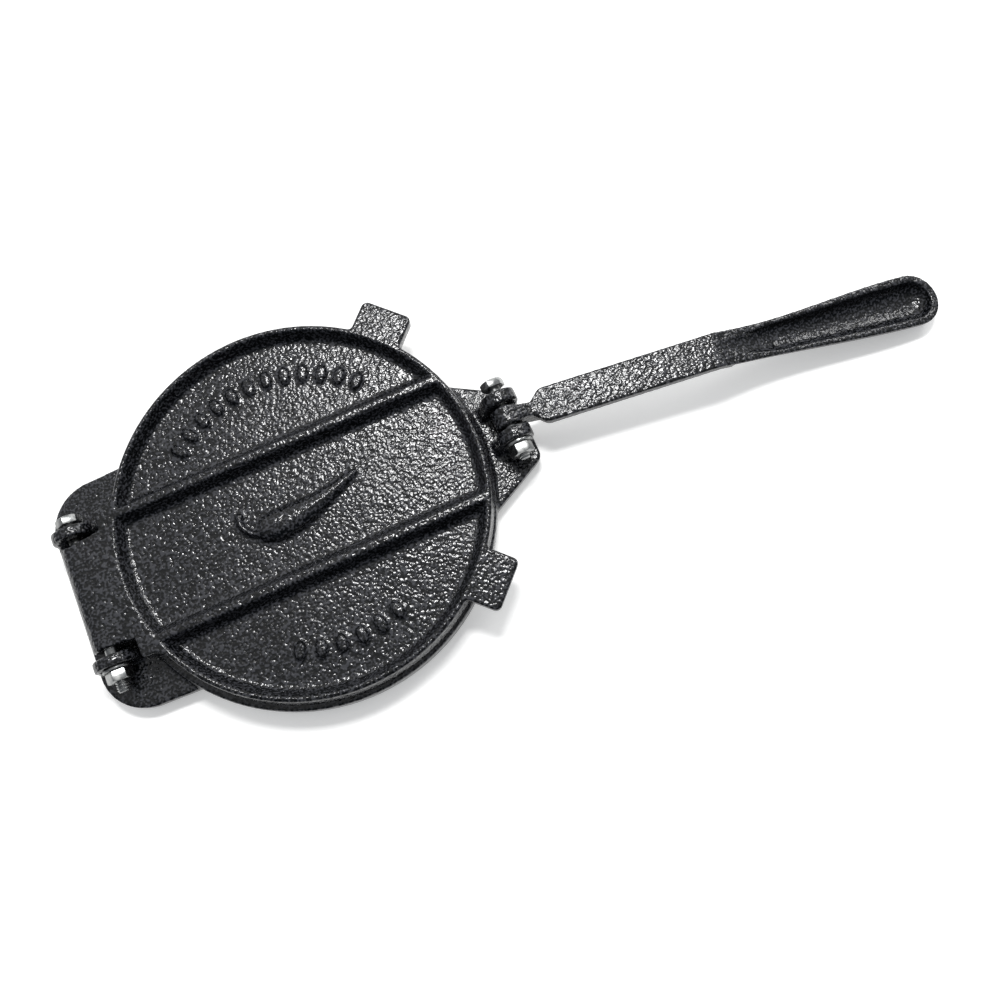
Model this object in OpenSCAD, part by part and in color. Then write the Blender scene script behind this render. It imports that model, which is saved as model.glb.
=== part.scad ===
// Cast tortilla press: a base plate on four feet, an upper plate hinged at the rear
// and a lever on a clevis at the front. X runs from the hinge to the lever, Z is up.
// The shapes are drawn about the axis of the round plates, with the table at Z = 0.

/* [Upper plate] */
// Radius over the rim at its top edge
rim_r = 94.6; // [80:0.1:115]
// Extra radius of the plate at its pressing face, from the casting draft
rim_draft = 1.4; // [0.4:0.1:3]
// Width of the flat top of the rim
rim_w = 2.6; // [1.8:0.1:5]
// Thickness from the pressing face to the top of the rim
top_t = 12.2; // [11:0.1:16]
// Depth of the pockets below the rim
pocket_depth = 7.5; // [4:0.1:8]
// Sideways run of the pocket walls
pocket_slope = 3.2; // [1:0.1:4]
// Radius between pocket wall and pocket floor
floor_fillet = 2.4; // [1:0.1:3]
// Distance of each rib from the middle of the plate
rib_y = 33.1; // [24:0.1:42]
// Width of a rib at its top
rib_top_w = 4; // [3:0.1:7]

/* [Lifting tabs] */
// Width of a tab
tab_w = 27.1; // [18:0.1:34]
// Reach of a tab past the rim
tab_reach = 16.4; // [12:0.1:24]
// Thickness of a tab
tab_t = 8; // [4:0.1:10]
// Radius of the outer corners of a tab
tab_corner_r = 3; // [1:0.1:8]
// Radius between a tab and the rim
tab_root_r = 2.5; // [1:0.1:8]

/* [Base plate] */
// Extra radius of the base over the rim of the upper plate
base_margin = 3.8; // [2.2:0.1:8]
// Distance that the base casting sits towards the hinge from under the upper plate
base_shift = 1.6; // [0:0.1:2]
// Extra radius of the base at its lower edge
base_draft = 0.4; // [0.1:0.1:1.5]
// Thickness of the base over its skirt
base_t = 11.5; // [9.5:0.1:15]
// Depth of the hollow under the base
hollow_depth = 4; // [2:0.1:4]
// Width of the skirt and of the ribs under the base
skirt_w = 6; // [4:0.1:10]
// Radius of the ring rib under the base
ring_rib_r = 50; // [40:0.5:60]
// Number of radial ribs under the base
rib_count = 8; // [6:1:12]
// Height of the cast feet
foot_h = 4; // [2:0.1:8]
// Diameter of a foot where it meets the table
foot_d = 13; // [8:0.1:20]
// Gap between the closed pressing faces
plate_gap = 0.3; // [0.2:0.05:1]

/* [Rear hinge] */
// Distance of the hinge axis behind the rim
hinge_reach = 16.1; // [15.5:0.1:22]
// Radius of the hinge barrel
barrel_r = 8; // [6.5:0.1:8.6]
// Half width of the tongue at its barrel
tongue_half_w = 27.2; // [20:0.1:34]
// Half width that the tongue gains towards the plate
tongue_flare = 1.2; // [0:0.1:2]
// Half width of the block where the tongue leaves the rim
root_half_w = 39; // [36:0.1:44]
// Reach of that block past the rim
root_reach = 1.4; // [0.5:0.1:2]
// Radius between that block and the rim
root_r = 8; // [3:0.1:12]
// Side gap between the barrel and a hinge ear
hinge_side_gap = 3.8; // [2.5:0.1:5]
// Thickness of a hinge ear
hinge_ear_t = 5.5; // [4:0.1:8]
// Radius of a hinge ear
hinge_ear_r = 10.3; // [8.5:0.1:11.5]

/* [Rear shelf] */
// Thickness of both shelves
shelf_t = 7; // [5:0.1:7.4]
// Reach of the rear shelf past the hinge axis
shelf_tail = 12.3; // [12:0.1:20]
// Half width of the rear shelf at its round corners
shelf_half_w = 60.5; // [52:0.1:70]
// Half width that the rear shelf gains towards the plate
shelf_flare = 4.2; // [0:0.1:8]
// Radius of the rear corners
shelf_corner_r = 24; // [10:0.5:30]

/* [Front shelf and clevis] */
// Distance of the lever axis in front of the rim
pivot_reach = 17.2; // [17:0.1:22]
// Depth of the lever axis below the top of the rim
pivot_drop = 4.5; // [3:0.1:6]
// Reach of the front shelf past the lever axis
nose_reach = 9.6; // [9:0.1:14]
// Half width of the front shelf at its front edge
nose_half_w = 18.8; // [18.6:0.1:28]
// Half width of the front shelf where it leaves the plate
nose_root_half_w = 37.4; // [32:0.1:45]
// Distance that the front shelf sits to the side, away from the bolt heads
nose_shift = 3.8; // [0:0.1:4]
// Radius of the front corners
nose_corner_r = 5; // [1:0.1:6]
// Gap between the clevis ears
clevis_gap = 13.4; // [12.6:0.1:14.6]
// Thickness of a clevis ear
clevis_ear_t = 6.8; // [4:0.1:7.4]
// Radius of a clevis ear
clevis_ear_r = 9.2; // [7:0.1:10]
// Reach of an ear's foot behind the lever axis
clevis_foot = 11.6; // [9:0.1:12]

/* [Lever arm] */
// Width of the lever boss
boss_w = 10; // [8:0.1:11.5]
// Radius of the lever boss
boss_r = 7.5; // [6:0.1:8]
// Width of the neck and of the web under the arm
neck_w = 7.4; // [5:0.1:8]
// Distance from the lever axis to the end of the neck
neck_len = 13; // [12:0.1:16]
// Length of the sloped shoulders
shoulder_len = 6.5; // [4:0.1:10]
// Width of the arm
arm_w = 18.6; // [14:0.1:22]
// Thickness of the arm
arm_t = 6; // [3:0.1:6.5]
// Distance from the lever axis to the bend where the grip starts
arm_len = 112; // [80:0.5:130]
// Height of the face of the arm over the lever axis
face_rise = 2.3; // [1:0.1:3.5]
// Rise of the arm from the axis to the bend, in degrees
arm_rise = 2.6; // [1:0.1:5]
// Depth of the web under the arm at its heel
web_depth = 14.4; // [10:0.1:15.5]
// Angle at which the arm leaves its boss sideways, in degrees
lever_skew = 6.5; // [0:0.1:8]
// Distance from the middle of the boss to the line of the arm
arm_side = 0.5; // [0:0.1:1]

/* [Spoon grip] */
// Length from the bend to the centre of the round end
grip_len = 117; // [90:0.5:140]
// Radius of the round end
grip_end_r = 14.5; // [11:0.1:18]
// Half width of the grip at its waist
waist_half_w = 9.6; // [9.4:0.1:10.8]
// Depth of the grip at its end
grip_depth = 12; // [9:0.1:15]
// Depth of the grip where it leaves the arm
grip_start_depth = 7; // [6:0.1:8.5]
// Width of the rim around the spoon at its round end
grip_rim_w = 4.2; // [2.5:0.1:5]
// Width of the rim at the waist
waist_rim_w = 2.2; // [1.5:0.1:3]
// Thickness of the spoon under its hollow
grip_floor_t = 3.2; // [2.5:0.1:5]
// Distance from the bend to the start of the hollow
hollow_start = 4; // [2:0.1:10]
// Dip of the grip below the straight line from the bend to the round end
grip_sag = 3.5; // [0:0.1:4]

/* [Fasteners] */
// Bolt diameter
bolt_d = 6.35; // [5:0.05:8]
// Radial clearance of a bolt in its bore
bolt_fit = 0.1; // [0.05:0.01:0.1]
// Size across the flats of bolt heads and nuts
hex_af = 11.1; // [9.5:0.1:13]
// Height of a bolt head
head_h = 4; // [3:0.1:6]
// Height of a nut
nut_h = 5.6; // [4:0.1:7]
// Outer diameter of a washer
washer_d = 14.3; // [12.5:0.1:15.5]
// Thickness of a washer
washer_t = 1.6; // [0.8:0.1:2.5]
// Shank left bare under the head of the hinge bolt
hinge_bolt_slack = 2.8; // [0:0.1:4]
// Thread past the hinge nut
hinge_tail = 5.3; // [1:0.1:10]
// Thread past the lever nut
lever_tail = 2.4; // [1:0.1:10]
// Shank left bare under the head of the lever bolt
lever_bolt_slack = 3.6; // [0:0.1:4]

/* [Raised chili pepper] */
// Height of the pepper above the pocket floor
chili_h = 5.6; // [3:0.1:6]
// Half width of its body
chili_half_w = 7; // [5:0.1:8]

/* [Hidden] */
$fn = 96;

cast_colour = "#1d1e20";
zinc_colour = "#a6a8a8";
arc_steps = 5;
blend_in = 2;
cut_over = 1;

base_r = rim_r + base_margin;
base_top_z = foot_h + base_t;
top_z = base_top_z + plate_gap + top_t;
plate_z = base_top_z + plate_gap;
floor_z = top_z - pocket_depth;
shelf_top_z = foot_h + shelf_t;
bore_d = bolt_d + 2 * bolt_fit;

hinge_x = -(rim_r + hinge_reach);
hinge_z = top_z - barrel_r;
hinge_ear_y = tongue_half_w + hinge_side_gap;
hinge_outer_y = hinge_ear_y + hinge_ear_t;
shelf_end_x = hinge_x - shelf_tail;

pivot_x = rim_r + pivot_reach;
pivot_z = top_z - pivot_drop;
nose_x = pivot_x + nose_reach;
clevis_outer_y = clevis_gap / 2 + clevis_ear_t;

rib_foot_w = rib_top_w / 2 + pocket_slope;
rib_fillet = 1.25 * floor_fillet;
rim_round_in = 0.8;
rim_round_out = 1.2;
tab_step = 0.1;
rim_mid_r = rim_r - (rim_w - rim_round_in + rim_round_out) / 2;
pocket_floor_r = rim_r - rim_w - pocket_slope;

bend_w = face_rise + arm_len * tan(arm_rise);

// The grip slopes down from the bend until the round end touches the table.
function end_reach(slope) = norm([grip_end_r * sin(slope), grip_depth * cos(slope)]);
function grip_slope(tries, slope) = tries == 0 ? slope :
    grip_slope(tries - 1, asin((pivot_z + bend_w - end_reach(slope)) / grip_len));
droop = grip_slope(6, 8);

tip_x = pivot_x + (arm_len + grip_len * cos(droop)) * cos(lever_skew) + grip_end_r;
middle_x = (shelf_end_x + tip_x) / 2;

function unit(v) = v / norm(v);
function mix(a, b, t) = a + (b - a) * t;
function ease(t) = let (c = max(0, min(1, t))) c * c * (3 - 2 * c);
function signed_pow(v, p) = sign(v) * pow(abs(v), p);

// Arc that rounds the corner b between its neighbours a and c
function corner_arc(a, b, c, r) =
    let (
        u = unit(a - b),
        w = unit(c - b),
        half = acos(u * w) / 2,
        centre = b + unit(u + w) * r / sin(half),
        p0 = b + u * r / tan(half) - centre,
        p1 = b + w * r / tan(half) - centre,
        a0 = atan2(p0.y, p0.x),
        turn = atan2(p0.x * p1.y - p0.y * p1.x, p0 * p1)
    )
    [for (i = [0:arc_steps]) centre + r * [cos(a0 + turn * i / arc_steps),
        sin(a0 + turn * i / arc_steps)]];

// Outline through corners given as [x, y, corner radius]
function rounded(corners) =
    let (n = len(corners))
    [for (i = [0:n - 1])
        let (
            a = corners[(i + n - 1) % n],
            b = corners[i],
            c = corners[(i + 1) % n]
        )
        each (b.z > 0 ? corner_arc([a.x, a.y], [b.x, b.y], [c.x, c.y], b.z) : [[b.x, b.y]])];

// Point where the tangent from p touches the circle of radius r about c
function tangent_point(c, r, p, side) =
    let (d = p - c, a = atan2(d.y, d.x) + side * acos(r / norm(d)))
    c + r * [cos(a), sin(a)];

// Moves a piece from the axis of the plates to the centre of the whole press.
module placed() {
    translate([-middle_x, 0, 0]) children();
}

// Upright slab: an outline in X and Z, centred on y and wide along Y
module slab(y, width) {
    translate([0, y + width / 2, 0])
        rotate([90, 0, 0])
            linear_extrude(width) children();
}

module cross_bore(x, z, half_len) {
    translate([x, half_len, z])
        rotate([90, 0, 0])
            cylinder(d = bore_d, h = 2 * half_len);
}

// Fillets between a disc and a bar along +X that leaves it
module bar_fillets(disc_r, half_w, r) {
    centre_y = half_w + r;
    centre_x = sqrt(pow(disc_r + r, 2) - pow(centre_y, 2));
    disc_side = unit([centre_x, centre_y]) * (disc_r - 2 * blend_in);
    for (side = [-1, 1])
        scale([1, side])
            difference() {
                polygon([
                    [centre_x, centre_y],
                    [centre_x, half_w - blend_in],
                    [disc_side.x, half_w - blend_in],
                    disc_side
                ]);
                translate([centre_x, centre_y]) circle(r);
            }
}

// Ear seen from the side: a round head on a spreading foot
module ear_outline(x, z, r, rear, front, foot_z) {
    c = [x, z];
    rear_foot = [x - rear, foot_z];
    front_foot = [x + front, foot_z];
    translate(c) circle(r);
    polygon([
        [x - rear, foot_z - blend_in],
        rear_foot,
        tangent_point(c, r, rear_foot, -1),
        c,
        tangent_point(c, r, front_foot, 1),
        front_foot,
        [x + front, foot_z - blend_in]
    ]);
}

// Base plate

module base_disc() {
    rotate_extrude()
        polygon(rounded([
            [0, foot_h + hollow_depth, 0],
            [base_r - skirt_w, foot_h + hollow_depth, 1.5],
            [base_r - skirt_w + 1, foot_h, 0],
            [base_r + base_draft, foot_h, 0.8],
            [base_r, base_top_z, 1.2],
            [0, base_top_z, 0]
        ]));
}

module base_ribs() {
    translate([0, 0, foot_h])
        difference() {
            cylinder(r = ring_rib_r + skirt_w / 2, h = hollow_depth + cut_over);
            translate([0, 0, -cut_over])
                cylinder(r = ring_rib_r - skirt_w / 2, h = hollow_depth + 3 * cut_over);
        }
    for (i = [0:rib_count - 1])
        rotate([0, 0, (i + 0.5) * 360 / rib_count])
            translate([0, -skirt_w / 2, foot_h])
                cube([base_r - skirt_w / 2, skirt_w, hollow_depth + cut_over]);
}

module rear_shelf_outline() {
    corner_x = shelf_end_x + shelf_corner_r;
    corner_y = shelf_half_w - shelf_corner_r;
    for (side = [-1, 1])
        translate([corner_x, side * corner_y]) circle(shelf_corner_r);
    polygon([
        [shelf_end_x, -corner_y],
        [corner_x, -shelf_half_w],
        [0, -shelf_half_w - shelf_flare],
        [0, shelf_half_w + shelf_flare],
        [corner_x, shelf_half_w],
        [shelf_end_x, corner_y]
    ]);
}

// The front shelf is cast a little to one side of the clevis.
module front_shelf_outline() {
    root = [for (side = [-1, 1])
        let (y = side * nose_root_half_w - nose_shift)
        [sqrt(pow(base_r, 2) - pow(y, 2)) - base_shift - blend_in, y, 0]];
    polygon(rounded([
        root[0],
        [nose_x, -nose_half_w - nose_shift, nose_corner_r],
        [nose_x, nose_half_w - nose_shift, nose_corner_r],
        root[1]
    ]));
}

// The shelves leave the disc, whose hollow stays open.
module shelves() {
    translate([0, 0, foot_h])
        difference() {
            linear_extrude(shelf_t) {
                rear_shelf_outline();
                front_shelf_outline();
            }
            translate([-base_shift, 0, -cut_over])
                cylinder(r = base_r - skirt_w / 2, h = shelf_t + 2 * cut_over);
        }
}

module hinge_ears() {
    for (side = [-1, 1])
        slab(side * (hinge_ear_y + hinge_ear_t / 2), hinge_ear_t)
            ear_outline(hinge_x, hinge_z, hinge_ear_r, hinge_ear_r + 0.6, hinge_ear_r + 0.6,
                shelf_top_z);
}

module clevis_ears() {
    for (side = [-1, 1])
        slab(side * (clevis_gap + clevis_ear_t) / 2, clevis_ear_t)
            ear_outline(pivot_x, pivot_z, clevis_ear_r, clevis_foot, nose_reach - 0.6,
                shelf_top_z);
}

module feet() {
    foot_x = base_r * 0.72 - base_shift;
    foot_y = base_r * 0.5;
    shelf_foot_x = shelf_end_x + shelf_corner_r;
    shelf_foot_y = shelf_half_w - shelf_corner_r;
    for (side = [-1, 1], spot = [[foot_x, foot_y], [shelf_foot_x, shelf_foot_y]])
        translate([spot.x, side * spot.y, 0])
            cylinder(d1 = foot_d, d2 = foot_d + 3, h = foot_h + 2 * cut_over);
}

module base_plate() {
    color(cast_colour)
        placed()
            difference() {
                union() {
                    translate([-base_shift, 0, 0]) {
                        base_disc();
                        base_ribs();
                    }
                    shelves();
                    hinge_ears();
                    clevis_ears();
                    feet();
                }
                cross_bore(hinge_x, hinge_z, hinge_outer_y + cut_over);
                cross_bore(pivot_x, pivot_z, clevis_outer_y + cut_over);
            }
}

// Upper plate

module top_disc() {
    rotate_extrude()
        polygon(rounded([
            [0, plate_z, 0],
            [rim_r + rim_draft, plate_z, 1],
            [rim_r, top_z, rim_round_out],
            [rim_r - rim_w, top_z, rim_round_in],
            [pocket_floor_r, floor_z, floor_fillet],
            [0, floor_z, 0]
        ]));
}

module rib_section() {
    polygon(rounded([
        [-rib_foot_w - 2 * rib_fillet, -blend_in, 0],
        [rib_foot_w + 2 * rib_fillet, -blend_in, 0],
        [rib_foot_w + 2 * rib_fillet, 0, 0],
        [rib_foot_w, 0, rib_fillet],
        [rib_top_w / 2, pocket_depth, 1.2],
        [-rib_top_w / 2, pocket_depth, 1.2],
        [-rib_foot_w, 0, rib_fillet],
        [-rib_foot_w - 2 * rib_fillet, 0, 0]
    ]));
}

module ribs() {
    intersection() {
        for (side = [-1, 1])
            translate([-rim_r, side * rib_y, floor_z])
                rotate([90, 0, 90])
                    linear_extrude(2 * rim_r) rib_section();
        cylinder(r = rim_mid_r, h = top_z);
    }
}

module tab() {
    reach = rim_r + tab_reach;
    translate([0, 0, top_z - tab_t])
        linear_extrude(tab_t - tab_step)
            difference() {
                union() {
                    polygon(rounded([
                        [rim_r / 2, -tab_w / 2, 0],
                        [reach, -tab_w / 2, tab_corner_r],
                        [reach, tab_w / 2, tab_corner_r],
                        [rim_r / 2, tab_w / 2, 0]
                    ]));
                    bar_fillets(rim_r, tab_w / 2, tab_root_r);
                }
                circle(rim_mid_r);
            }
}

module hinge_tongue() {
    root_x = rim_r + root_reach;
    inner_x = rim_r - 3 * root_r;
    rotate([0, 0, 180])
        translate([0, 0, plate_z])
            linear_extrude(top_t)
                difference() {
                    union() {
                        polygon(rounded([
                            [inner_x, -root_half_w, 0],
                            [root_x, -root_half_w, 2.5],
                            [root_x, root_half_w, 2.5],
                            [inner_x, root_half_w, 0]
                        ]));
                        bar_fillets(rim_r, root_half_w, root_r);
                        polygon([
                            [root_x - blend_in, -tongue_half_w - tongue_flare],
                            [-hinge_x, -tongue_half_w],
                            [-hinge_x, tongue_half_w],
                            [root_x - blend_in, tongue_half_w + tongue_flare]
                        ]);
                    }
                    circle(rim_mid_r);
                }
    slab(0, 2 * tongue_half_w)
        translate([hinge_x, hinge_z]) circle(barrel_r);
}

// Raised chili pepper, one half-round body on the floor of the middle pocket

// Middle of the pepper from the hooked stem to the tip: x, y, half width over chili_half_w
chili_spine = [
    [-36.5, 10.8, 0.2], [-32.2, 5.4, 0.24], [-28.4, 1, 0.34], [-22, -2.6, 0.86],
    [-12, -3.9, 1], [0, -3.1, 0.92], [14, 0.6, 0.62], [31, 7.4, 0.12]
];

// Smooth curve through four neighbouring stations
function through(a, b, c, d, t) =
    0.5 * (2 * b + (c - a) * t + (2 * a - 5 * b + 4 * c - d) * t * t
        + (3 * b - a - 3 * c + d) * t * t * t);
function spine_point(path, t) =
    let (
        n = len(path) - 1,
        i = min(n - 1, max(0, floor(t * n))),
        before = i > 0 ? path[i - 1] : 2 * path[0] - path[1],
        after = i < n - 1 ? path[i + 2] : 2 * path[n] - path[n - 1]
    )
    through(before, path[i], path[i + 1], after, t * n - i);

// Half-round ring across the spine, sunk a little into the floor
function relief_ring(path, t, sides) =
    let (
        p = spine_point(path, t),
        d = spine_point(path, t + 0.01) - spine_point(path, t - 0.01),
        side = unit([-d.y, d.x]) * chili_half_w * p.z,
        height = chili_h * pow(p.z, 0.8)
    )
    [for (i = [0:sides])
        let (a = 200 - 220 * i / sides)
        [p.x + side.x * cos(a), p.y + side.y * cos(a), floor_z + height * sin(a)]];

// Solid through a list of rings that all have the same number of points
module loft(rings) {
    n = len(rings[0]);
    last = (len(rings) - 1) * n;
    polyhedron(
        points = [for (ring = rings) each ring],
        faces = concat(
            [for (j = [0:len(rings) - 2], i = [0:n - 1])
                let (a = j * n + i, b = j * n + (i + 1) % n)
                each [[a, b, b + n], [a, b + n, a + n]]],
            [[for (i = [n - 1:-1:0]) i]],
            [[for (i = [0:n - 1]) last + i]]
        ),
        convexity = 8
    );
}

module chili() {
    rings = 26;
    sides = 12;
    loft([for (i = [0:rings]) relief_ring(chili_spine, i / rings, sides)]);
}

module top_plate() {
    color(cast_colour)
        placed()
            difference() {
                union() {
                    top_disc();
                    ribs();
                    for (angle = [-45, 45]) rotate([0, 0, angle]) tab();
                    hinge_tongue();
                    chili();
                }
                cross_bore(hinge_x, hinge_z, tongue_half_w + cut_over);
            }
}

// Lever, drawn along its own arm with the axis of the boss at the origin

function face_w(u) = face_rise + u * tan(arm_rise);

// Dip of the rim line of the grip at the distance s from the bend
function sag(s) =
    let (t = max(0, min(1, s / grip_len)))
    6.75 * grip_sag * t * pow(1 - t, 2);

// Height of that rim line at the distance s, seen level from the side
function rim_w_at(s) = bend_w - s * tan(droop) - sag(s);

module arm_plan() {
    shoulder_u = neck_len + shoulder_len;
    end_u = arm_len + 8;
    inset_w = neck_w - 0.8;
    polygon(rounded([
        [neck_len / 2, -inset_w / 2, 0],
        [neck_len, -inset_w / 2, 2.5],
        [shoulder_u, -arm_w / 2, 5],
        [end_u, -arm_w / 2, 0],
        [end_u, arm_w / 2, 0],
        [shoulder_u, arm_w / 2, 5],
        [neck_len, inset_w / 2, 2.5],
        [neck_len / 2, inset_w / 2, 0]
    ]));
}

// The flange follows the face of the arm and runs a little way into the grip.
module arm_flange() {
    tail = 7;
    depth = arm_t / cos(arm_rise);
    intersection() {
        translate([0, 0, -2 * grip_len]) linear_extrude(4 * grip_len) arm_plan();
        slab(0, 2 * arm_w)
            polygon([
                [0, face_w(0)],
                [arm_len, bend_w],
                [arm_len + tail, rim_w_at(tail) - 0.6],
                [arm_len + tail, rim_w_at(tail) - depth],
                [arm_len, bend_w - depth],
                [0, face_w(0) - depth]
            ]);
    }
}

// The neck and the web under the arm are one upright plate, which meets the round of
// the boss along a tangent.
module arm_web() {
    heel_u = neck_len + shoulder_len;
    slab(0, neck_w) {
        polygon([
            [0, 0],
            tangent_point([0, 0], boss_r, [neck_len + 1, face_w(neck_len + 1) - 0.4], 1),
            [neck_len + 1, face_w(neck_len + 1) - 0.4],
            [neck_len + 1, face_w(neck_len + 1) - 2],
            [0, -boss_r + 1]
        ]);
        polygon(rounded([
            [0, face_w(0) - 0.4, 0],
            [arm_len, bend_w - 0.4, 0],
            [arm_len + 8, rim_w_at(8) - 3, 0],
            [arm_len + 8, rim_w_at(8) - grip_start_depth + 0.5, 0],
            [arm_len - 12, face_w(arm_len - 12) - arm_t - 3, 12],
            [heel_u + 6, face_w(heel_u + 6) - web_depth, 10],
            [heel_u - 3, face_w(heel_u) - web_depth, 3],
            [neck_len - 2, -boss_r - 2, 3],
            [0, -boss_r + 1, 0]
        ]));
    }
}

module boss() {
    slab(0, boss_w) circle(boss_r);
}

function grip_half_w(s) = s <= grip_len
    ? mix(waist_half_w, grip_end_r, ease((s - 18) / (grip_len - 18)))
    : sqrt(max(0.04, pow(grip_end_r, 2) - pow(s - grip_len, 2)));
function grip_deep(s) = s <= grip_len
    ? mix(grip_start_depth, grip_depth, ease(s / (grip_len * 0.75)))
    : grip_depth * sqrt(max(0.002, 1 - pow((s - grip_len) / grip_end_r, 2)));

hollow_end_r = grip_end_r - grip_rim_w;
hollow_ramp = 34;
function hollow_half_w(s) = s <= grip_len
    ? (grip_half_w(s) - mix(waist_rim_w, grip_rim_w, ease(s / grip_len)))
        * mix(0.45, 1, ease((s - hollow_start) / hollow_ramp))
    : sqrt(max(0.04, pow(hollow_end_r, 2) - pow(s - grip_len, 2)));
function hollow_deep(s) = s <= grip_len
    ? (grip_deep(s) - grip_floor_t) * mix(0.05, 1, ease((s - hollow_start) / hollow_ramp))
    : (grip_depth - grip_floor_t)
        * sqrt(max(0.002, 1 - pow((s - grip_len) / hollow_end_r, 2)));

// Half ring that hangs below the rim line of the grip
function spoon_ring(s, half_w, depth, lift, sides) =
    concat(
        lift > 0 ? [[s, half_w, lift - sag(s)]] : [],
        [for (i = [0:sides])
            let (a = 180 * i / sides)
            [s, half_w * signed_pow(cos(a), 0.85),
                -depth * signed_pow(sin(a), 0.85) - sag(s)]],
        lift > 0 ? [[s, -half_w, lift - sag(s)]] : []
    );

// Stations along the grip, closer together round the end
function grip_stations(from, end_r, steps, end_steps) =
    concat(
        [for (i = [0:steps]) mix(from, grip_len, i / steps)],
        [for (i = [1:end_steps]) grip_len + end_r * sin(90 * i / end_steps)]
    );

module spoon() {
    sides = 14;
    loft([for (s = grip_stations(0, grip_end_r, 14, 8))
        spoon_ring(s, grip_half_w(s), grip_deep(s), 0, sides)]);
}

module spoon_hollow() {
    sides = 14;
    loft([for (s = grip_stations(hollow_start, hollow_end_r, 14, 8))
        spoon_ring(s, hollow_half_w(s), hollow_deep(s), cut_over, sides)]);
}

module at_bend() {
    translate([arm_len, 0, bend_w])
        rotate([0, droop, 0]) children();
}

module along_arm() {
    translate([0, arm_side, 0])
        rotate([0, 0, -lever_skew]) children();
}

module lever() {
    color(cast_colour)
        placed()
            translate([pivot_x, 0, pivot_z])
                difference() {
                    union() {
                        boss();
                        along_arm() {
                            arm_flange();
                            arm_web();
                            at_bend() spoon();
                        }
                    }
                    along_arm() at_bend() spoon_hollow();
                    cross_bore(0, 0, boss_w);
                }
}

// Fasteners

module hex_prism(h) {
    across_corners = hex_af / cos(30);
    intersection() {
        cylinder(d = across_corners, h = h, $fn = 6);
        cylinder(d1 = across_corners + 2 * h, d2 = across_corners - 1.1, h = h);
    }
}

// Turns a fastener so that it points along -Y from the face at y.
module along_y(x, y, z) {
    translate([x, y, z]) rotate([90, 0, 0]) children();
}

module bolt(length) {
    cylinder(d = bolt_d, h = length);
    mirror([0, 0, 1]) hex_prism(head_h);
}

module nut() {
    difference() {
        hex_prism(nut_h);
        translate([0, 0, -cut_over]) cylinder(d = bore_d, h = nut_h + 2 * cut_over);
    }
}

module washer() {
    difference() {
        cylinder(d = washer_d, h = washer_t);
        translate([0, 0, -cut_over]) cylinder(d = bore_d, h = washer_t + 2 * cut_over);
    }
}

module hinge_bolt() {
    color(zinc_colour)
        placed()
            along_y(hinge_x, hinge_outer_y + hinge_bolt_slack, hinge_z)
                bolt(2 * hinge_outer_y + hinge_bolt_slack + washer_t + nut_h + hinge_tail);
}

module hinge_washer() {
    color(zinc_colour)
        placed()
            along_y(hinge_x, -hinge_outer_y, hinge_z) washer();
}

module hinge_nut() {
    color(zinc_colour)
        placed()
            along_y(hinge_x, -hinge_outer_y - washer_t, hinge_z) nut();
}

module lever_bolt() {
    color(zinc_colour)
        placed()
            along_y(pivot_x, clevis_outer_y + lever_bolt_slack, pivot_z)
                bolt(2 * clevis_outer_y + lever_bolt_slack + washer_t + nut_h + lever_tail);
}

module lever_washer() {
    color(zinc_colour)
        placed()
            along_y(pivot_x, -clevis_outer_y, pivot_z) washer();
}

module lever_nut() {
    color(zinc_colour)
        placed()
            along_y(pivot_x, -clevis_outer_y - washer_t, pivot_z) nut();
}

base_plate();
top_plate();
lever();
hinge_bolt();
hinge_washer();
hinge_nut();
lever_bolt();
lever_washer();
lever_nut();
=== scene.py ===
import math
import bmesh
import bpy
from mathutils import Matrix, Vector


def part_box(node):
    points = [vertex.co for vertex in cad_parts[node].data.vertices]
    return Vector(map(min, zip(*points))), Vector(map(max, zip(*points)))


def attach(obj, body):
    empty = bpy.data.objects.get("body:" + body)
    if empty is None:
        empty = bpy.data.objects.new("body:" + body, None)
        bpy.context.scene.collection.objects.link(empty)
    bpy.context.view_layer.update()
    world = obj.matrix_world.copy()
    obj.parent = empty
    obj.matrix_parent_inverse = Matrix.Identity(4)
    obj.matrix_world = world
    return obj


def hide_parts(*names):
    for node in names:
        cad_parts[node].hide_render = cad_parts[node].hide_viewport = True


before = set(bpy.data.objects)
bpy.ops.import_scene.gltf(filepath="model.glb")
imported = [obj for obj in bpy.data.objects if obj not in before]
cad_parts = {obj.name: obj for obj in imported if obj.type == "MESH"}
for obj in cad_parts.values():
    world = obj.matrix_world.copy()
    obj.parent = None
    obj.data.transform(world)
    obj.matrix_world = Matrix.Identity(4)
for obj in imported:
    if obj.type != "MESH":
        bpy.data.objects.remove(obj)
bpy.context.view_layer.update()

MM = 0.001
MERGE = 0.001 * MM
plate_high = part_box("top_plate")[1]
hinge_low, hinge_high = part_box("hinge_washer")
# The round plates are drawn about disc_x, this far from the hinge bolt.
HINGE_TO_MIDDLE = 110.7 * MM
disc_x = (hinge_low.x + hinge_high.x) / 2 + HINGE_TO_MIDDLE


# Base plate: one iron casting with a round bed, two shelves, the ears of both bolts and
# four short feet. It is sand cast, so its edges are soft, and it is dipped in black enamel
# that settles into a pebbled, glossy skin.

CAST_VOXEL = 0.7 * MM
CAST_TRIANGLES = 185000
SOFT_PASSES = 8


def linear(colour):
    parts = [int(colour[i:i + 2], 16) / 255 for i in (1, 3, 5)]
    return tuple(c / 12.92 if c <= 0.04045 else ((c + 0.055) / 1.055) ** 2.4
                 for c in parts) + (1,)


def add_node(tree, kind, inputs=None, **settings):
    node = tree.nodes.new("ShaderNode" + kind)
    for name, value in settings.items():
        setattr(node, name, value)
    for name, value in (inputs or {}).items():
        if isinstance(value, bpy.types.NodeSocket):
            tree.links.new(value, node.inputs[name])
        else:
            node.inputs[name].default_value = value
    return node


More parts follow.
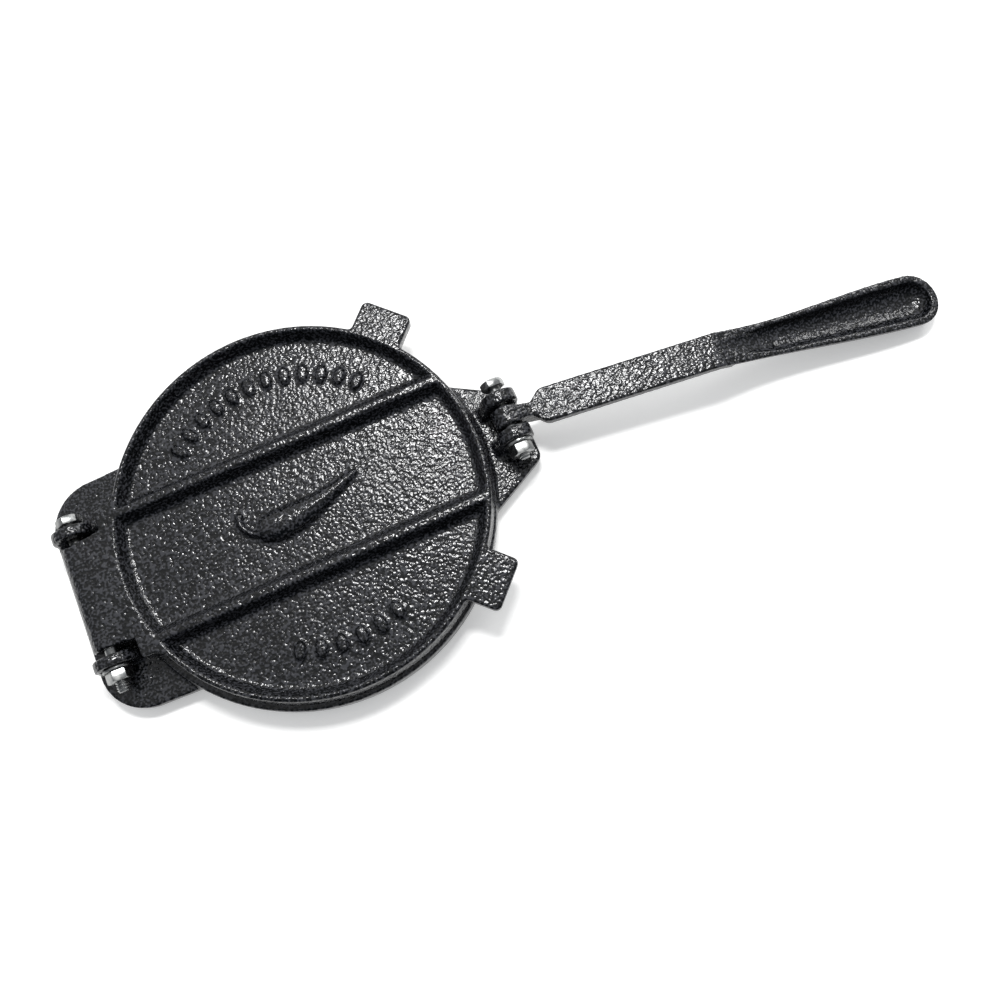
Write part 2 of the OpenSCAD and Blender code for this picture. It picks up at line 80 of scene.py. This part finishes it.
def new_material(name):
    material = bpy.data.materials.new(name)
    material.use_nodes = True
    return material, material.node_tree, material.node_tree.nodes["Principled BSDF"]


def ramp(tree, value, stops):
    node = add_node(tree, "ValToRGB", {"Fac": value})
    band = node.color_ramp
    while len(band.elements) < len(stops):
        band.elements.new(0.5)
    for element, (place, colour) in zip(band.elements, stops):
        element.position = place
        element.color = linear(colour)
    return node.outputs["Color"]


# Black enamel over a sand casting: near black with a cold tint, glossy, with pebbles from the
# sand grain that catch a lamp as sparks. Shade is painted into the pits of the grain, whose
# colour is made blacker than the tops, and the pebble tops are painted lighter.
GRAIN = 1.25 * MM
enamel, tree, shader = new_material("dipped_black_enamel")
place = add_node(tree, "TexCoord").outputs["Object"]
pebbles_and_pit_shade = add_node(tree, "TexNoise", {
    "Vector": place, "Scale": 1 / GRAIN, "Detail": 0.5, "Roughness": 0.4})
cells = add_node(tree, "TexVoronoi", {
    "Vector": place, "Scale": 0.6 / GRAIN}, feature="SMOOTH_F1")
drift = add_node(tree, "TexNoise", {
    "Vector": place, "Scale": 1 / (28 * MM), "Detail": 2.0})
grain = add_node(tree, "Math", {0: pebbles_and_pit_shade.outputs["Fac"], 1: cells.outputs["Distance"]},
                 operation="ADD")
skin = add_node(tree, "Bump", {
    "Height": grain.outputs[0], "Strength": 1.0, "Distance": 0.3 * MM})
tree.links.new(skin.outputs["Normal"], shader.inputs["Normal"])
# Painted shade: the base colour follows the pebble height, darker in the pits and lighter on
# the tops.
tree.links.new(ramp(tree, pebbles_and_pit_shade.outputs["Fac"], [
    (0.38, "#020304"), (0.5, "#0f1013"), (0.61, "#37383c")]), shader.inputs["Base Color"])
gloss = add_node(tree, "MapRange", {
    "Value": drift.outputs["Fac"], "From Min": 0.3, "From Max": 0.7,
    "To Min": 0.13, "To Max": 0.21})
tree.links.new(gloss.outputs["Result"], shader.inputs["Roughness"])
shader.inputs["IOR"].default_value = 1.45


def merged_copy(node):
    shape = bmesh.new()
    shape.from_mesh(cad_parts[node].data)
    bmesh.ops.remove_doubles(shape, verts=shape.verts, dist=MERGE)
    return shape


def place_piece(name, shape, material, body):
    mesh = bpy.data.meshes.new(name)
    shape.to_mesh(mesh)
    shape.free()
    piece = bpy.data.objects.new(name, mesh)
    bpy.context.scene.collection.objects.link(piece)
    mesh.materials.append(material)
    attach(piece, body)
    return piece


def settle(piece):
    """Puts the shape that the modifiers make into the piece's own mesh."""
    graph = bpy.context.evaluated_depsgraph_get()
    mesh = bpy.data.meshes.new_from_object(piece.evaluated_get(graph))
    piece.modifiers.clear()
    piece.data = mesh


def soften_casting(piece, voxel, passes):
    skin = piece.modifiers.new("sand_mould", "REMESH")
    skin.mode = "VOXEL"
    skin.voxel_size = voxel
    round_off = piece.modifiers.new("round_off", "SMOOTH")
    round_off.factor = 0.5
    round_off.iterations = passes
    settle(piece)
    triangles = sum(len(face.vertices) - 2 for face in piece.data.polygons)
    if triangles > CAST_TRIANGLES:
        thin = piece.modifiers.new("thin", "DECIMATE")
        thin.ratio = CAST_TRIANGLES / triangles
        settle(piece)
    piece.data.polygons.foreach_set("use_smooth", [True] * len(piece.data.polygons))


base = place_piece("base_casting", merged_copy("base_plate"), enamel, "base")
soften_casting(base, CAST_VOXEL, SOFT_PASSES)
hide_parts("base_plate")


# Upper plate: the second casting, with a raised rim, two ribs across its back and two tabs
# to lift it by. The relief on it is cast in one piece with it: a chili pepper in the middle
# pocket and a plain row of kernels round each outer one.

FLOOR_DROP = 7.5 * MM
PEPPER_SIDES = 20
PEPPER_STEPS = 40
# The direction at a place on the curve is taken this far to each side of it.
LOOK_ASIDE = 0.01
KERNEL = (4.9 * MM, 2.8 * MM, 3.2 * MM)
KERNEL_RING_R = 70.5 * MM
KERNEL_FLAT = 2.1 * MM
# First and last angle of each row, and how many kernels it has
KERNEL_ROWS = [(132, 46, 12), (-112, -70, 6)]
# How deep the relief is let into the floor, and the box round the plain pepper of the copy
ROOT = 1.2 * MM
PRESS_DEPTH = 0.2 * MM
PLAIN_LOW = Vector((disc_x - 42 * MM, -14 * MM))
PLAIN_HIGH = Vector((disc_x + 36 * MM, 16 * MM))
floor_z = plate_high.z - FLOOR_DROP

# Middle of the pepper, half width and height over the floor, from shoulder to tip, in mm
PEPPER_BODY = [
    (-24.4, -0.6, 3.4, 3.0), (-22.0, -2.0, 6.2, 4.8), (-17.5, -3.2, 7.7, 5.4),
    (-10, -3.4, 7.8, 5.6), (-2, -2.6, 6.9, 5.3), (6, -1.2, 5.5, 4.7), (14, 1.0, 4.1, 3.9),
    (21, 3.4, 2.9, 3.1), (27, 5.4, 1.9, 2.3), (31, 6.7, 1.0, 1.4)]
PEPPER_STEM = [
    (-30.6, 9.2, 1.9, 2.7), (-31.7, 6.4, 1.8, 2.9), (-31.7, 3.4, 1.6, 2.9),
    (-30.3, 0.4, 1.5, 2.9), (-28.2, -2.2, 1.5, 2.8), (-25.0, -4.0, 1.7, 2.8)]


def along(stations, t):
    """Smooth curve through the stations, for t from 0 to 1."""
    last = len(stations) - 1
    i = min(last - 1, int(t * last))
    f = t * last - i
    a, b, c, d = (stations[min(last, max(0, i + k))] for k in (-1, 0, 1, 2))
    return [0.5 * (2 * q + (r - p) * f + (2 * p - 5 * q + 4 * r - s) * f ** 2
                   + (3 * q - p - 3 * r + s) * f ** 3) for p, q, r, s in zip(a, b, c, d)]


def add_relief(shape, stations):
    """Adds a half-sunk tube along the stations, as rings that are bridged."""
    rings = []
    for k in range(PEPPER_STEPS + 1):
        t = k / PEPPER_STEPS
        x, y, half_w, high = (v * MM for v in along(stations, t))
        x0, y0 = along(stations, max(0, t - LOOK_ASIDE))[:2]
        x1, y1 = along(stations, min(1, t + LOOK_ASIDE))[:2]
        turn = math.atan2(y1 - y0, x1 - x0)
        ring = bmesh.ops.create_circle(
            shape, segments=PEPPER_SIDES, radius=1, cap_ends=k in (0, PEPPER_STEPS),
            matrix=Matrix.Translation((disc_x + x, y, floor_z))
            @ Matrix.Rotation(turn, 4, "Z") @ Matrix.Rotation(math.radians(90), 4, "Y")
            @ Matrix.Diagonal((high, half_w, 1, 1)))
        for v in ring["verts"]:
            v.co.z = max(v.co.z, floor_z - ROOT)
        rings.append(list({edge for vert in ring["verts"] for edge in vert.link_edges
                           if edge.other_vert(vert) in ring["verts"]}))
    for a, b in zip(rings, rings[1:]):
        bmesh.ops.bridge_loops(shape, edges=a + b)


def drop_plain_relief(shape):
    """Presses the plain pepper of the copy flat, just under the floor."""
    for v in shape.verts:
        along_it = PLAIN_LOW.x < v.co.x < PLAIN_HIGH.x
        across_it = PLAIN_LOW.y < v.co.y < PLAIN_HIGH.y
        if along_it and across_it and v.co.z > floor_z:
            v.co.z = floor_z - PRESS_DEPTH


def join(shape, part):
    """Adds the closed part to the shape, with its faces pointing outwards."""
    bmesh.ops.remove_doubles(part, verts=part.verts, dist=MERGE)
    bmesh.ops.recalc_face_normals(part, faces=part.faces)
    mesh = bpy.data.meshes.new("part")
    part.to_mesh(mesh)
    part.free()
    shape.from_mesh(mesh)
    bpy.data.meshes.remove(mesh)


upper_shape = merged_copy("top_plate")
drop_plain_relief(upper_shape)
shape = bmesh.new()
add_relief(shape, PEPPER_BODY)
join(upper_shape, shape)
shape = bmesh.new()
add_relief(shape, PEPPER_STEM)
for first, last, count in KERNEL_ROWS:
    for k in range(count):
        angle = math.radians(first + (last - first) * k / (count - 1))
        kernel = bmesh.ops.create_icosphere(
            shape, subdivisions=4, radius=1,
            matrix=Matrix.Translation((disc_x + KERNEL_RING_R * math.cos(angle),
                                       KERNEL_RING_R * math.sin(angle), floor_z))
            @ Matrix.Rotation(angle, 4, "Z") @ Matrix.Diagonal((*KERNEL, 1)))["verts"]
        for v in kernel:
            v.co.z = max(floor_z - ROOT, min(v.co.z, floor_z + KERNEL_FLAT))
join(upper_shape, shape)
upper = place_piece("upper_casting", upper_shape, enamel, "upper")
soften_casting(upper, CAST_VOXEL, SOFT_PASSES // 2)
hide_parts("top_plate")


# Lever: the third casting, a round boss, a flat arm on a web and a hollow spoon grip. It
# has the same black enamel, and its sections are thinner, so its skin is followed finer.

LEVER_VOXEL = 0.5 * MM
LEVER_PASSES = 12

lever = place_piece("lever_casting", merged_copy("lever"), enamel, "arm")
soften_casting(lever, LEVER_VOXEL, LEVER_PASSES)
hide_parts("lever")


# Bolts and nuts: zinc-plated 1/4 inch steel with 20 threads to the inch. The hex heads and
# nuts are cold formed, with a cone turned on their corners.

ACROSS_FLATS = 11.1 * MM
BOLT_R = 3.15 * MM
ROOT_R = 2.6 * MM
PITCH = 1.27 * MM
# How far each hex is turned from a corner at the top, in degrees, as the wrench left it
HEAD_TURN = {"hinge": 8, "lever": 22}
NUT_TURN = {"hinge": 14, "lever": 26}
TURN_STEPS = 20
HEAD_H = 4.0 * MM
THREAD_LEN = 17 * MM
# The shank is let into the head and the core into the shank, and the ridge ends before the tip.
SHANK_SINK = 0.5 * MM
CORE_SINK = 1 * MM
RIDGE_SHORT = 0.8 * MM
SHANK_BEVEL = 0.3 * MM
TIP_BEVEL = 0.4 * MM
# The cone starts just inside the flats and leans 30 degrees to the face.
CONE_INSET = 0.15 * MM
CONE_CUTS = 36
CONE_LEAN = math.radians(30)
CUT_MERGE = 0.01 * MM
ROUNDING = 0.12 * MM
SHARP = math.radians(34)
ROD_SIDES = 40
# The ridge of the thread starts this far inside the core, and its crest is nearly sharp.
RIDGE_SINK = 0.3 * MM
RIDGE_FOOT = 0.9
RIDGE_CREST = 0.16

# Zinc plate on steel: a dull light grey metal, a little cloudy, with fine rubbed streaks.
zinc, tree, shader = new_material("dull_zinc_plate")
place = add_node(tree, "TexCoord").outputs["Object"]
cloud = add_node(tree, "TexNoise", {"Vector": place, "Scale": 1 / (3 * MM), "Detail": 4.0})
tree.links.new(ramp(tree, cloud.outputs["Fac"], [
    (0.3, "#737576"), (0.55, "#949594"), (0.75, "#adaeac")]), shader.inputs["Base Color"])
dull = add_node(tree, "MapRange", {
    "Value": cloud.outputs["Fac"], "From Min": 0.3, "From Max": 0.7,
    "To Min": 0.2, "To Max": 0.34})
tree.links.new(dull.outputs["Result"], shader.inputs["Roughness"])
streaks = add_node(tree, "TexNoise", {
    "Vector": place, "Scale": 1 / (0.5 * MM), "Detail": 2.0})
rubbed = add_node(tree, "Bump", {
    "Height": streaks.outputs["Fac"], "Strength": 0.25, "Distance": 0.05 * MM})
tree.links.new(rubbed.outputs["Normal"], shader.inputs["Normal"])
shader.inputs["Metallic"].default_value = 1


def add_hex(shape, low, high, cones, turn):
    """Hex prism along +Z from low to high, with a cone turned on its corners at cones."""
    part = bmesh.new()
    corner_r = ACROSS_FLATS / math.sqrt(3)
    bmesh.ops.create_cone(part, cap_ends=True, segments=6, radius1=corner_r,
                          radius2=corner_r, depth=high - low,
                          matrix=Matrix.Translation((0, 0, (low + high) / 2)))
    cone_r = ACROSS_FLATS / 2 - CONE_INSET
    for end in cones:
        out = 1 if end == high else -1
        for k in range(CONE_CUTS):
            angle = 2 * math.pi * k / CONE_CUTS
            side = Vector((math.cos(angle), math.sin(angle), 0))
            cut = bmesh.ops.bisect_plane(
                part, geom=part.verts[:] + part.edges[:] + part.faces[:],
                plane_co=side * cone_r + Vector((0, 0, end)),
                plane_no=side * math.sin(CONE_LEAN) + Vector((0, 0, out * math.cos(CONE_LEAN))),
                clear_outer=True)
            bmesh.ops.holes_fill(
                part, edges=[e for e in cut["geom_cut"] if isinstance(e, bmesh.types.BMEdge)])
    bmesh.ops.remove_doubles(part, verts=part.verts, dist=CUT_MERGE)
    bmesh.ops.rotate(part, verts=part.verts, matrix=Matrix.Rotation(math.radians(turn), 3, "Z"))
    join(shape, part)


def add_rod(shape, low, high, radius, bevel):
    rod = bmesh.ops.create_cone(shape, cap_ends=True, segments=ROD_SIDES, radius1=radius,
                                radius2=radius, depth=high - low,
                                matrix=Matrix.Translation((0, 0, (low + high) / 2)))
    ends = {f for v in rod["verts"] for f in v.link_faces if len(f.verts) > 4}
    rims = list({e for f in ends for e in f.edges})
    bmesh.ops.bevel(shape, geom=rims, offset=bevel, affect="EDGES", segments=2, profile=0.5,
                    material=-1)


def add_thread(shape, low, high):
    """One ridge wound round the axis, closed at both ends."""
    half = PITCH / 2
    profile = [shape.verts.new(p) for p in (
        (ROOT_R - RIDGE_SINK, 0, low - RIDGE_FOOT * half),
        (BOLT_R, 0, low - RIDGE_CREST * half),
        (BOLT_R, 0, low + RIDGE_CREST * half),
        (ROOT_R - RIDGE_SINK, 0, low + RIDGE_FOOT * half))]
    face = shape.faces.new(profile)
    turns = (high - low) / PITCH
    steps = int(turns * TURN_STEPS)
    before = set(shape.faces)
    bmesh.ops.spin(shape, geom=[face] + face.edges[:] + profile, cent=(0, 0, 0),
                   axis=(0, 0, 1), dvec=(0, 0, PITCH / TURN_STEPS),
                   angle=steps * math.radians(360 / TURN_STEPS), steps=steps)
    made = [f for f in shape.faces if f not in before]
    bmesh.ops.recalc_face_normals(shape, faces=made + [face])


def finish_hardware(name, shape, turned, node):
    """Turns +Z of the shape to -Y of the press, bevels its edges and places it."""
    bmesh.ops.transform(shape, matrix=turned, verts=shape.verts)
    piece = place_piece(name, shape, zinc, "base")
    edges = piece.modifiers.new("rounded_edges", "BEVEL")
    edges.width = ROUNDING
    edges.segments = 2
    edges.limit_method = "ANGLE"
    edges.angle_limit = SHARP
    settle(piece)
    piece.data.polygons.foreach_set("use_smooth", [True] * len(piece.data.polygons))
    piece.data.set_sharp_from_angle(angle=SHARP)
    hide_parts(node)


for joint in ("hinge", "lever"):
    low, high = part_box(joint + "_bolt")
    nut_low, nut_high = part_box(joint + "_nut")
    axis = Vector(((low.x + high.x) / 2, 0, (low.z + high.z) / 2))
    # In the shape, +Z is the way from the head to the tip, which is -Y of the press.
    turned = Matrix.Translation(axis) @ Matrix.Rotation(math.radians(90), 4, "X")
    head_face = -(high.y - HEAD_H)
    tip = -low.y
    shape = bmesh.new()
    add_hex(shape, -high.y, head_face, (-high.y,), HEAD_TURN[joint])
    add_rod(shape, head_face - SHANK_SINK, tip - THREAD_LEN, BOLT_R, SHANK_BEVEL)
    add_rod(shape, tip - THREAD_LEN - CORE_SINK, tip, ROOT_R, TIP_BEVEL)
    add_thread(shape, tip - THREAD_LEN, tip - RIDGE_SHORT)
    finish_hardware(joint + "_hex_bolt", shape, turned, joint + "_bolt")

    shape = bmesh.new()
    add_hex(shape, -nut_high.y, -nut_low.y, (-nut_high.y, -nut_low.y), NUT_TURN[joint])
    finish_hardware(joint + "_hex_nut", shape, turned, joint + "_nut")


# Washers: stamped from zinc-plated strip, one under each nut, with their edges rounded by
# the die.

WASHER_BORE_R = 3.3 * MM
WASHER_SIDES = 64
WASHER_EDGE = 0.35 * MM
WASHER_CORNER = math.radians(60)
WASHER_SHARP = math.radians(40)

for joint in ("hinge", "lever"):
    low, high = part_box(joint + "_washer")
    centre = (low + high) / 2
    upright = (Matrix.Translation((centre.x, low.y, centre.z))
               @ Matrix.Rotation(math.radians(90), 4, "X"))
    shape = bmesh.new()
    for radius in ((high.x - low.x) / 2, WASHER_BORE_R):
        bmesh.ops.create_circle(
            shape, segments=WASHER_SIDES, radius=radius, matrix=upright)
    flat = bmesh.ops.bridge_loops(shape, edges=shape.edges[:])["faces"]
    raised = bmesh.ops.extrude_face_region(shape, geom=flat, use_keep_orig=True)["geom"]
    bmesh.ops.translate(shape, vec=(0, high.y - low.y, 0),
                        verts=[v for v in raised if isinstance(v, bmesh.types.BMVert)])
    bmesh.ops.recalc_face_normals(shape, faces=shape.faces)
    piece = place_piece(joint + "_flat_washer", shape, zinc, "base")
    edges = piece.modifiers.new("stamped_edge", "BEVEL")
    edges.width = WASHER_EDGE
    edges.segments = 3
    edges.limit_method = "ANGLE"
    edges.angle_limit = WASHER_CORNER
    settle(piece)
    piece.data.polygons.foreach_set("use_smooth", [True] * len(piece.data.polygons))
    piece.data.set_sharp_from_angle(angle=WASHER_SHARP)
    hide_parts(joint + "_washer")


# Floor: a plain pale sheet that only keeps the shadow of the press. It glows a little, so
# that it comes out white and the shadow stays faint.

FLOOR_COLOUR = linear("#f4f4f3")
FLOOR_HALF = 3
UNDER_FEET = 0.2 * MM
paper, tree, shader = new_material("pale_paper")
shader.inputs["Base Color"].default_value = FLOOR_COLOUR
shader.inputs["Roughness"].default_value = 1
shader.inputs["Specular IOR Level"].default_value = 0
shader.inputs["Emission Color"].default_value = FLOOR_COLOUR
shader.inputs["Emission Strength"].default_value = 0.38
shape = bmesh.new()
bmesh.ops.create_grid(shape, x_segments=1, y_segments=1, size=FLOOR_HALF)
mesh = bpy.data.meshes.new("floor")
shape.to_mesh(mesh)
shape.free()
mesh.materials.append(paper)
floor = bpy.data.objects.new("floor", mesh)
floor.location.z = -UNDER_FEET
bpy.context.scene.collection.objects.link(floor)


# Light: a surround that is pale on the side of the bolt heads and dark on the side of the
# nuts, a long lamp whose mirror image lies on the lever half of the upper plate and on the
# flat of the arm, and a weaker one past the grip that draws its hollow.

world = bpy.data.worlds.new("studio")
bpy.context.scene.world = world
world.use_nodes = True
tree = world.node_tree
backdrop = tree.nodes["Background"]
way = add_node(tree, "TexCoord").outputs["Generated"]
slope = add_node(tree, "VectorMath", {0: way, 1: (0.06, 0.4, 0.295)}, operation="DOT_PRODUCT")
lift = add_node(tree, "Math", {0: slope.outputs["Value"], 1: 0.5}, operation="ADD")
tree.links.new(ramp(tree, lift.outputs[0], [
    (0.36, "#474c55"), (0.68, "#adafb2"), (0.97, "#f2f2f2")]), backdrop.inputs["Color"])
backdrop.inputs["Strength"].default_value = 1


def add_lamp(name, place, aim, size, power):
    lamp = bpy.data.lights.new(name, "AREA")
    lamp.shape = "RECTANGLE"
    lamp.size, lamp.size_y = size
    lamp.energy = power
    piece = bpy.data.objects.new(name, lamp)
    piece.location = place
    piece.rotation_euler = (Vector(aim) - Vector(place)).to_track_quat("-Z", "Y").to_euler()
    bpy.context.scene.collection.objects.link(piece)


add_lamp("long_lamp", (disc_x + 0.24, 0.46, 1.28), (disc_x + 0.1, 0, 0), (0.38, 0.16), 13)
add_lamp("side_lamp", (disc_x + 1.15, 0.6, 0.87), (disc_x + 0.3, 0, 0), (0.4, 0.4), 4.5)


# Camera: close over the press, a little towards the grip and the side of the nuts.

view = bpy.data.cameras.new("camera")
view.sensor_width = 36
view.lens = 35.7
view.shift_y = -0.06
view.clip_start, view.clip_end = 0.01, 20
camera = bpy.data.objects.new("camera", view)
camera.location = (-0.05498, -0.1296, 0.5082)
camera.rotation_euler = (math.radians(14.81), math.radians(0.98), math.radians(-23.82))
bpy.context.scene.collection.objects.link(camera)
bpy.context.scene.camera = camera
bpy.context.scene.view_settings.view_transform = "Standard"
